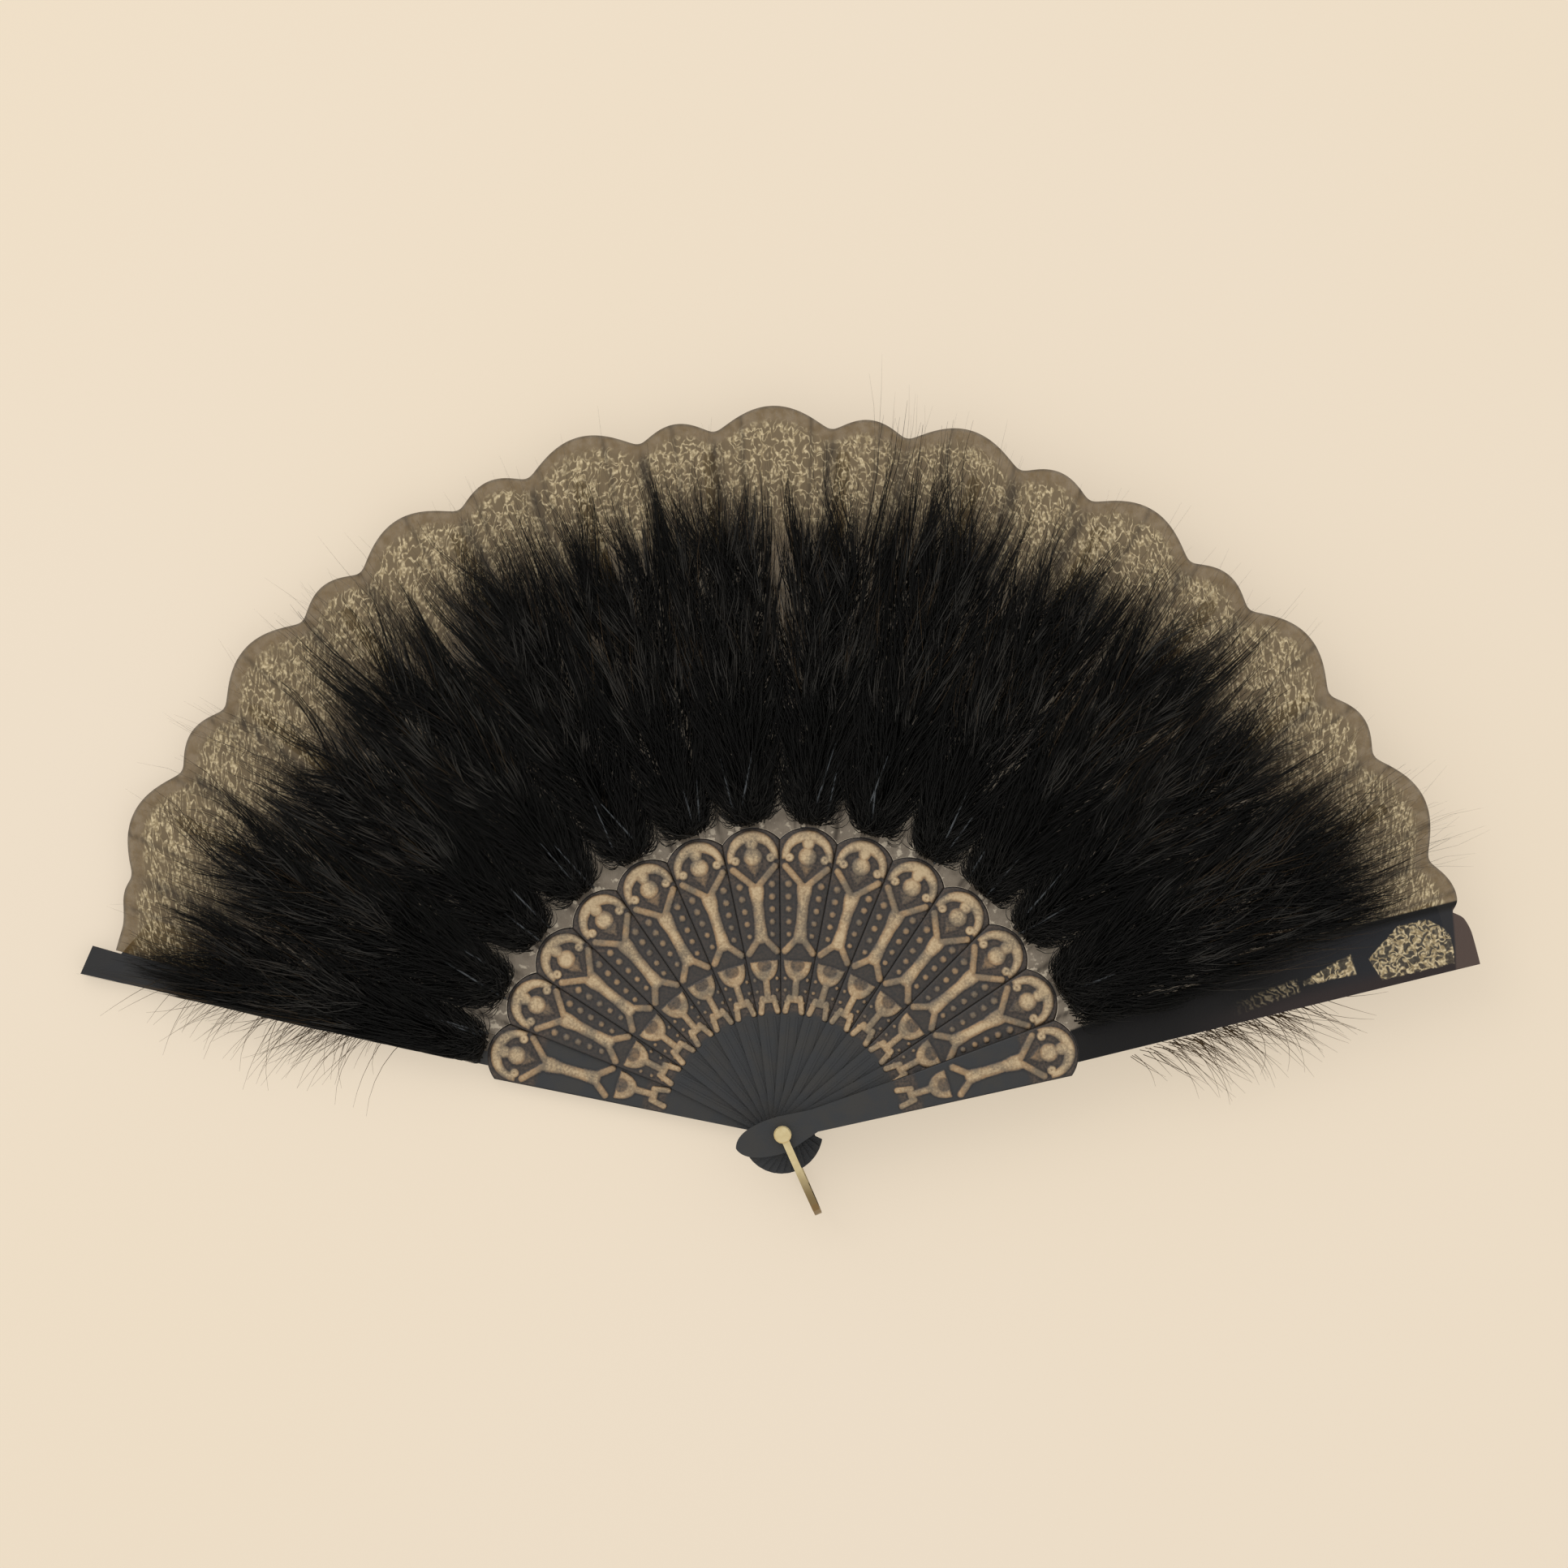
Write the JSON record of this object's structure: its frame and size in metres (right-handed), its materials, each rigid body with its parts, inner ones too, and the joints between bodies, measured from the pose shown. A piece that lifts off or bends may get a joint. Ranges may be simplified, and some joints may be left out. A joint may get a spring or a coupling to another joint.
{
  "type": "feather fan",
  "caption": "Folding hand fan with ornamented sticks, a pleated sheer leaf with a scalloped rim, dark plumes along its ribs and a wire bail on its rivet",
  "frame": {"origin": "on the fold axis, in the flat outer face of the rear rivet head", "axes": "+Z is the fold axis, out of the fan's front face; +Y is the centre line of the open fan, from the rivet to the rim; +X is to the right seen from the front"},
  "size_m": [0.4255, 0.2453, 0.0303],
  "materials": {
    "stick_plastic": "moulded dark plastic in soft gloss, with champagne gold rubbed on the raised ornament",
    "leaf_fabric": "sheer black weave with a fine gold scroll print",
    "feather": "black brown down, soft and matt",
    "brass": "pale gilt wire, lightly worn"
  },
  "bodies": {
    "rear_guard": {"rear_guard": "stick_plastic", "leaf_panel_rear": "leaf_fabric", "plume_rear": "feather", "leaf_fold_01": "leaf_fabric", "rear_rivet_head": "brass", "rivet_pin": "brass", "front_rivet_head": "brass"},
    "rib_01": {"rib_01": "stick_plastic", "leaf_panel_01": "leaf_fabric", "plume_01": "feather", "leaf_fold_02": "leaf_fabric"},
    "rib_02": {"rib_02": "stick_plastic", "leaf_panel_02": "leaf_fabric", "plume_02": "feather", "leaf_fold_03": "leaf_fabric"},
    "rib_03": {"rib_03": "stick_plastic", "leaf_panel_03": "leaf_fabric", "plume_03": "feather", "leaf_fold_04": "leaf_fabric"},
    "rib_04": {"rib_04": "stick_plastic", "leaf_panel_04": "leaf_fabric", "plume_04": "feather", "leaf_fold_05": "leaf_fabric"},
    "rib_05": {"rib_05": "stick_plastic", "leaf_panel_05": "leaf_fabric", "plume_05": "feather", "leaf_fold_06": "leaf_fabric"},
    "rib_06": {"rib_06": "stick_plastic", "leaf_panel_06": "leaf_fabric", "plume_06": "feather", "leaf_fold_07": "leaf_fabric"},
    "rib_07": {"rib_07": "stick_plastic", "leaf_panel_07": "leaf_fabric", "plume_07": "feather", "leaf_fold_08": "leaf_fabric"},
    "rib_08": {"rib_08": "stick_plastic", "leaf_panel_08": "leaf_fabric", "plume_08": "feather", "leaf_fold_09": "leaf_fabric"},
    "rib_09": {"rib_09": "stick_plastic", "leaf_panel_09": "leaf_fabric", "plume_09": "feather", "leaf_fold_10": "leaf_fabric"},
    "rib_10": {"rib_10": "stick_plastic", "leaf_panel_10": "leaf_fabric", "plume_10": "feather", "leaf_fold_11": "leaf_fabric"},
    "rib_11": {"rib_11": "stick_plastic", "leaf_panel_11": "leaf_fabric", "plume_11": "feather", "leaf_fold_12": "leaf_fabric"},
    "rib_12": {"rib_12": "stick_plastic", "leaf_panel_12": "leaf_fabric", "plume_12": "feather", "leaf_fold_13": "leaf_fabric"},
    "front_guard": {"front_guard": "stick_plastic", "leaf_panel_front": "leaf_fabric"},
    "bail": {"bail": "brass"}
  },
  "joints": [
    {"name": "fold_01", "type": "hinge", "parent": "rear_guard", "child": "rib_01", "pos_m": [0, 0, 0], "axis": [0, 0, 1], "range_deg": [0, 11.3], "deforming": ["leaf_fold_01", "plume_rear"]},
    {"name": "fold_02", "type": "hinge", "parent": "rib_01", "child": "rib_02", "pos_m": [0, 0, 0], "axis": [0, 0, 1], "range_deg": [0, 11.3], "deforming": ["leaf_fold_02", "plume_01"]},
    {"name": "fold_03", "type": "hinge", "parent": "rib_02", "child": "rib_03", "pos_m": [0, 0, 0], "axis": [0, 0, 1], "range_deg": [0, 11.3], "deforming": ["leaf_fold_03", "plume_02"]},
    {"name": "fold_04", "type": "hinge", "parent": "rib_03", "child": "rib_04", "pos_m": [0, 0, 0], "axis": [0, 0, 1], "range_deg": [0, 11.3], "deforming": ["leaf_fold_04", "plume_03"]},
    {"name": "fold_05", "type": "hinge", "parent": "rib_04", "child": "rib_05", "pos_m": [0, 0, 0], "axis": [0, 0, 1], "range_deg": [0, 11.3], "deforming": ["leaf_fold_05", "plume_04"]},
    {"name": "fold_06", "type": "hinge", "parent": "rib_05", "child": "rib_06", "pos_m": [0, 0, 0], "axis": [0, 0, 1], "range_deg": [0, 11.3], "deforming": ["leaf_fold_06", "plume_05"]},
    {"name": "fold_07", "type": "hinge", "parent": "rib_06", "child": "rib_07", "pos_m": [0, 0, 0], "axis": [0, 0, 1], "range_deg": [0, 11.3], "deforming": ["leaf_fold_07", "plume_06"]},
    {"name": "fold_08", "type": "hinge", "parent": "rib_07", "child": "rib_08", "pos_m": [0, 0, 0], "axis": [0, 0, 1], "range_deg": [0, 11.3], "deforming": ["leaf_fold_08", "plume_07"]},
    {"name": "fold_09", "type": "hinge", "parent": "rib_08", "child": "rib_09", "pos_m": [0, 0, 0], "axis": [0, 0, 1], "range_deg": [0, 11.3], "deforming": ["leaf_fold_09", "plume_08"]},
    {"name": "fold_10", "type": "hinge", "parent": "rib_09", "child": "rib_10", "pos_m": [0, 0, 0], "axis": [0, 0, 1], "range_deg": [0, 11.3], "deforming": ["leaf_fold_10", "plume_09"]},
    {"name": "fold_11", "type": "hinge", "parent": "rib_10", "child": "rib_11", "pos_m": [0, 0, 0], "axis": [0, 0, 1], "range_deg": [0, 11.3], "deforming": ["leaf_fold_11", "plume_10"]},
    {"name": "fold_12", "type": "hinge", "parent": "rib_11", "child": "rib_12", "pos_m": [0, 0, 0], "axis": [0, 0, 1], "range_deg": [0, 11.3], "deforming": ["leaf_fold_12", "plume_11"]},
    {"name": "fold_13", "type": "hinge", "parent": "rib_12", "child": "front_guard", "pos_m": [0, 0, 0], "axis": [0, 0, 1], "range_deg": [0, 11.3], "deforming": ["leaf_fold_13", "plume_12"]},
    {"name": "bail_swing", "type": "hinge", "parent": "rear_guard", "child": "bail", "pos_m": [0, 0, 0], "axis": [0, 0, 1], "range_deg": [-105, 60]}
  ],
  "couplings": [
    {"joint": "fold_02", "follows": "fold_01", "ratio": 1},
    {"joint": "fold_03", "follows": "fold_01", "ratio": 1},
    {"joint": "fold_04", "follows": "fold_01", "ratio": 1},
    {"joint": "fold_05", "follows": "fold_01", "ratio": 1},
    {"joint": "fold_06", "follows": "fold_01", "ratio": 1},
    {"joint": "fold_07", "follows": "fold_01", "ratio": 1},
    {"joint": "fold_08", "follows": "fold_01", "ratio": 1},
    {"joint": "fold_09", "follows": "fold_01", "ratio": 1},
    {"joint": "fold_10", "follows": "fold_01", "ratio": 1},
    {"joint": "fold_11", "follows": "fold_01", "ratio": 1},
    {"joint": "fold_12", "follows": "fold_01", "ratio": 1},
    {"joint": "fold_13", "follows": "fold_01", "ratio": 1}
  ]
}
